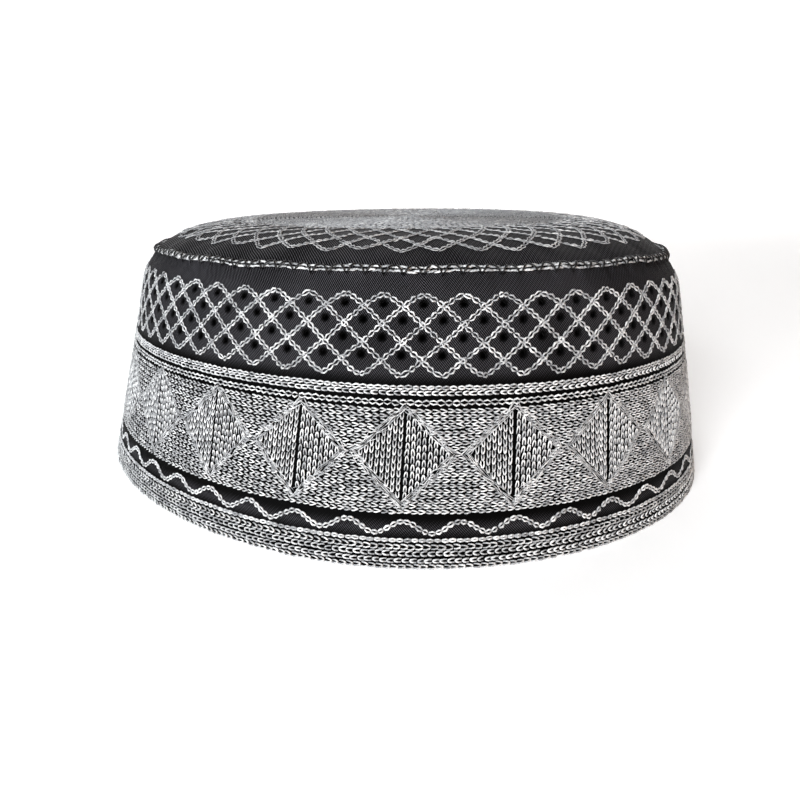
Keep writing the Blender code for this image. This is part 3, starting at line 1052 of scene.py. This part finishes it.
class KUFI_OT_diamonds(Operator):
    """The belt's diamonds of upright rows, split down the middle and bound along their edges"""

    bl_idname = "kufi.diamonds"
    bl_label = "Diamonds"

    def execute(self, context):
        sizes = context.scene.kufi_sizes
        rng = np.random.default_rng(SEED + 2)
        turns = FRONT + TURN * (np.arange(DIAMONDS) + DIAMOND_PHASE) / DIAMONDS
        slits = rng.uniform(*SLIT_RANGE, DIAMONDS)
        slits[:2] = FRONT_SLITS
        both = [repeated(diamond_columns(sizes, slit), turns[k : k + 1]) for k, slit in enumerate(slits)]
        starts, ends = (np.concatenate(item) for item in zip(*both))
        columns = chain(
            on_wall, starts, ends, COLUMN_WIDTH, COLUMN_THREAD, rng,
            lift=0.00014, form="vee", loose=0.06, tone=0.55,
        )
        edges = edge_threads(turns, rng)
        nodes = [f"belt_diamond_{number + 1:02d}" for number in range(DIAMONDS)]
        stitched("stitches_diamonds", [columns], finishes(context)["silver thread"], nodes)
        stitched("stitches_diamond_edges", edges, finishes(context)["silver thread"])
        return {"FINISHED"}


class KUFI_OT_band_lattice(Operator):
    """The open lattice of chain stitch on the upper band"""

    bl_idname = "kufi.band_lattice"
    bl_label = "Band lattice"

    def execute(self, context):
        sizes = context.scene.kufi_sizes
        rng = np.random.default_rng(SEED + 3)
        count, pitch = sizes.band_lattice, sizes.link_length
        starts, ends = lattice_links(on_wall, LATTICE_LEVELS, count, LATTICE_PHASE, pitch)
        width, girth = sizes.lattice_width, sizes.thread_radius
        # painted shade: the upper band's lattice threads are given a darker tone, 0.33
        links = chain(on_wall, starts, ends, width, girth, rng, tone=0.33, stagger=LATTICE_STAGGER)
        stitched("stitches_band_lattice", [links], finishes(context)["silver thread"])
        return {"FINISHED"}


class KUFI_OT_wave_line(Operator):
    """The single wave of chain stitch on the black strip above the rim rows"""

    bl_idname = "kufi.wave_line"
    bl_label = "Wave line"

    def execute(self, context):
        sizes = context.scene.kufi_sizes
        rng = np.random.default_rng(SEED + 4)
        turn = TURN / sizes.waves
        angle = np.linspace(0, turn, 200)
        height = 0.5 * (WAVE_HIGH + WAVE_LOW) + 0.5 * (WAVE_HIGH - WAVE_LOW) * np.cos(TURN * angle / turn)
        turns = FRONT + turn * (np.arange(sizes.waves) + WAVE_PHASE)
        starts, ends = repeated(path_links(on_wall, angle, height, sizes.link_length), turns)
        links = chain(on_wall, starts, ends, WAVE_WIDTH, 1.1 * sizes.thread_radius, rng)
        stitched("stitches_wave_line", [links], finishes(context)["silver thread"])
        return {"FINISHED"}


class KUFI_OT_crown_lattice(Operator):
    """The open lattice of chain stitch round the crown"""

    bl_idname = "kufi.crown_lattice"
    bl_label = "Crown lattice"

    def execute(self, context):
        sizes = context.scene.kufi_sizes
        rng = np.random.default_rng(SEED + 5)
        count, pitch = sizes.crown_lattice, sizes.link_length
        starts, ends = lattice_links(on_crown, CROWN_LEVELS, count, CROWN_PHASE, pitch)
        width, girth = 0.98 * sizes.lattice_width, 0.80 * sizes.thread_radius
        # painted shade: the crown's up-facing lattice threads are given a darker tone, 0.25
        links = chain(on_crown, starts, ends, width, girth, rng, tone=0.25, stagger=LATTICE_STAGGER)
        stitched("stitches_crown_lattice", [links], finishes(context)["silver thread"])
        return {"FINISHED"}


class KUFI_OT_crown_field(Operator):
    """The crown's middle, filled with rings of chain stitch"""

    bl_idname = "kufi.crown_field"
    bl_label = "Crown field"

    def execute(self, context):
        sizes = context.scene.kufi_sizes
        rng = np.random.default_rng(SEED + 6)
        girth = 0.76 * sizes.thread_radius
        parts = []
        radius = FIELD_RADIUS
        while radius > FIELD_EYE:
            count = max(round(TURN * radius / sizes.link_length), 4)
            starts, ends = ring_links(radius, count, rng.random())
            # painted shade: the crown field's up-facing threads are given a dark tone, 0.05
            parts.append(chain(on_crown, starts, ends, FIELD_PITCH, girth, rng, form="plain", tone=0.05))
            radius -= FIELD_PITCH
        stitched("stitches_crown_field", parts, finishes(context)["silver thread"], ["crown_field"])
        return {"FINISHED"}


def cord_plies(rng):
    """The cord's two lanes of short overlapping threads, fuller towards the left."""
    parts = []
    for lane in (-CORD_LANE, CORD_LANE):
        starts, ends = ring_links(lane, round(CORD_LINKS_A_ZIGZAG * ZIGZAGS), rng.random())
        starts[0, 1] -= CORD_END
        ends[-1, 1] += CORD_END
        begin, finish = laid(on_seam, starts, CORD_LIFT), laid(on_seam, ends, CORD_LIFT)
        normal = outward(on_seam, starts[:, 0], 0.0)
        begin = begin + rng.normal(0, CORD_JITTER, begin.shape)
        finish = finish + rng.normal(0, CORD_JITTER, finish.shape)
        full = 1 + CORD_FULLER * smooth_step(-np.cos(starts[:, :1]), 0.55, 0.95)
        fat = CORD_THREAD * full * (1 + GIRTHS * rng.normal(0, 1, (len(begin), 1)))
        fat = fat * np.array([0, 0.85, 1.0, 0.85, 0])
        rise = np.array([0, 0.0001, 0.00018, 0.0001, 0])
        shade = np.clip(rng.normal(0.38, 0.28, (len(begin), 1)), 0, 1)
        parts.append(strands(begin, finish, normal, (-0.35, 0.0, 0.5, 1.0, 1.35), 0.0, rise, fat, shade))
    return parts


def fine_stitches(rng):
    """Fine slanting stitches over the cord, from the left of the front round to the back."""
    number = np.arange(FINE_STITCHES)
    spread = (number + rng.random(FINE_STITCHES)) / FINE_STITCHES
    corner = FRONT - FINE_START - FINE_SHARE * TURN * spread
    reach = np.where(number % 2 == 0, FINE_REACH, -FINE_REACH)
    begin, finish = on_seam(corner, -reach, FINE_LIFT), on_seam(corner + FINE_SLANT, reach, FINE_LIFT)
    normal = outward(on_seam, corner, 0.0)
    rise = np.array([0, 0.00042, 0.00042, 0])
    shade = np.clip(rng.normal(0.75, 0.3, (FINE_STITCHES, 1)), 0, 1)
    girth = FINE_THREAD * np.array([0, 1, 1, 0])
    return strands(begin, finish, normal, (-0.1, 0.25, 0.75, 1.1), 0.0, rise, girth, shade)


def zigzag_thread(rng):
    """The black thread that runs to and fro over the cord, at uneven steps."""
    count = 2 * ZIGZAGS
    corner = FRONT + TURN * np.arange(count + 1) / count + rng.normal(0, ZIGZAG_JITTER, count + 1)
    across = np.where(np.arange(count + 1) % 2 == 0, ZIGZAG_TOP, ZIGZAG_FOOT)
    points = on_seam(corner, across, 0.0001)
    normal = outward(on_seam, corner[:-1], 0.0)
    rise = np.array([-0.0001, 0.00105, 0.00125, 0.00105, -0.0001])
    girth = np.array([0, 1, 1, 1, 0]) * ZIGZAG_THREAD
    return strands(points[:-1], points[1:], normal, (-0.02, 0.25, 0.5, 0.75, 1.02), 0.0, rise, girth, 0.5)


class KUFI_OT_seam_cord(Operator):
    """The silver cord over the crown's seam, and the black thread that zigzags over it"""

    bl_idname = "kufi.seam_cord"
    bl_label = "Seam cord"

    def execute(self, context):
        rng = np.random.default_rng(SEED + 7)
        silver, black = finishes(context)["silver thread"], finishes(context)["black sewing thread"]
        plies = cord_plies(rng)
        plies.append(fine_stitches(rng))
        stitched("seam_cord", plies, silver, ["crown_seam_cord"])
        stitched("seam_black_thread", [zigzag_thread(rng)], black)
        return {"FINISHED"}


def area_light(name, place, aim, size, power, colour):
    """A rectangular light at place that faces aim."""
    data = bpy.data.lights.new(name, "AREA")
    data.shape = "RECTANGLE"
    data.size, data.size_y = size
    data.energy = power
    data.color = colour
    lamp = bpy.data.objects.new(name, data)
    lamp.location = place
    x, y, z = np.array(aim) - np.array(place)
    lamp.rotation_euler = (math.atan2(math.hypot(x, y), -z), 0, math.atan2(-x, y))
    bpy.context.scene.collection.objects.link(lamp)


def studio_sweep():
    """A grid 5 m wide: level for 3.2 m, then a quarter circle of 0.8 m, then straight up.

    Along its run of 0 to 1, the floor is the part below 0.55 and the bend the part from there to 0.85.
    """
    floor_end, bend_end = 0.55, 0.85
    side = np.linspace(-2.5, 2.5, 3)
    run = np.linspace(0, 1, 40)
    bend = np.clip((run - floor_end) / 0.3, 0, 1) * 0.5 * math.pi
    depth = np.where(run < floor_end, -2.0 + 3.2 * run / floor_end, 1.2 + 0.8 * np.sin(bend))
    climb = 0.8 * (1 - np.cos(bend)) + np.clip(run - bend_end, 0, 1) * 12
    height = np.where(run < floor_end, 0.0, climb)
    grid = np.stack(np.broadcast_arrays(side[None], depth[:, None], height[:, None]), -1)
    index = np.arange(len(run) * len(side)).reshape(len(run), len(side))
    quads = np.stack([index[:-1, :-1], index[:-1, 1:], index[1:, 1:], index[1:, :-1]], -1)
    return grid.reshape(-1, 3), quads.reshape(-1, 4)


def front_camera():
    """The camera in front of the cap, looking down at it."""
    data = bpy.data.cameras.new("camera")
    data.sensor_width = 36.0
    data.lens = CAMERA_LENS
    data.shift_x = CAMERA_SHIFT
    data.clip_start = 0.01
    camera = bpy.data.objects.new("camera", data)
    camera.location = (CENTRING[0], CENTRING[1] - CAMERA_BACK, CAMERA_HEIGHT)
    camera.rotation_euler = (0.5 * math.pi - CAMERA_DOWN, 0.0, 0.0)
    return camera


class KUFI_OT_stage(Operator):
    """A pale floor that sweeps up behind, soft studio lights and the camera"""

    bl_idname = "kufi.stage"
    bl_label = "Stage"

    def execute(self, context):
        points, quads = studio_sweep()
        loops, firsts = quads_to_loops(quads)
        floor = mesh_object("studio_floor", points, loops, firsts)
        floor.data.materials.append(finishes(context)["pale floor"])
        for light in LIGHTS:
            area_light(*light)
        world = bpy.data.worlds.new("soft studio")
        world.use_nodes = True
        background = world.node_tree.nodes["Background"]
        background.inputs["Color"].default_value = (1.0, 0.92, 0.85, 1.0)
        background.inputs["Strength"].default_value = 0.08
        scene = context.scene
        scene.world = world
        scene.view_settings.view_transform = "Standard"
        scene.view_settings.exposure = 0.28
        scene.view_settings.gamma = 0.88
        camera = front_camera()
        scene.collection.objects.link(camera)
        scene.camera = camera
        return {"FINISHED"}


STEPS = (
    "stage", "band_cloth", "crown_cloth", "level_rows", "belt_ground", "diamonds", "band_lattice",
    "wave_line", "crown_lattice", "crown_field", "seam_cord",
)


class KUFI_PT_sidebar(Panel):
    bl_label = "Kufi"
    bl_space_type = "VIEW_3D"
    bl_region_type = "UI"
    bl_category = "Kufi"

    def draw(self, context):
        for group in (context.scene.kufi_sizes, context.scene.kufi_colours):
            for name in group.__annotations__:
                self.layout.prop(group, name)
        for step in STEPS:
            self.layout.operator(f"kufi.{step}")


CLASSES = (
    KufiSizes, KufiColours, KUFI_OT_stage, KUFI_OT_band_cloth, KUFI_OT_crown_cloth, KUFI_OT_level_rows,
    KUFI_OT_belt_ground, KUFI_OT_diamonds, KUFI_OT_band_lattice, KUFI_OT_wave_line, KUFI_OT_crown_lattice,
    KUFI_OT_crown_field, KUFI_OT_seam_cord, KUFI_PT_sidebar,
)


def register():
    for made in CLASSES:
        bpy.utils.register_class(made)
    bpy.types.Scene.kufi_sizes = PointerProperty(type=KufiSizes)
    bpy.types.Scene.kufi_colours = PointerProperty(type=KufiColours)


def unregister():
    del bpy.types.Scene.kufi_sizes
    del bpy.types.Scene.kufi_colours
    for made in reversed(CLASSES):
        bpy.utils.unregister_class(made)


def main():
    register()
    for step in STEPS:
        getattr(bpy.ops.kufi, step)()


if __name__ == "__main__":
    main()
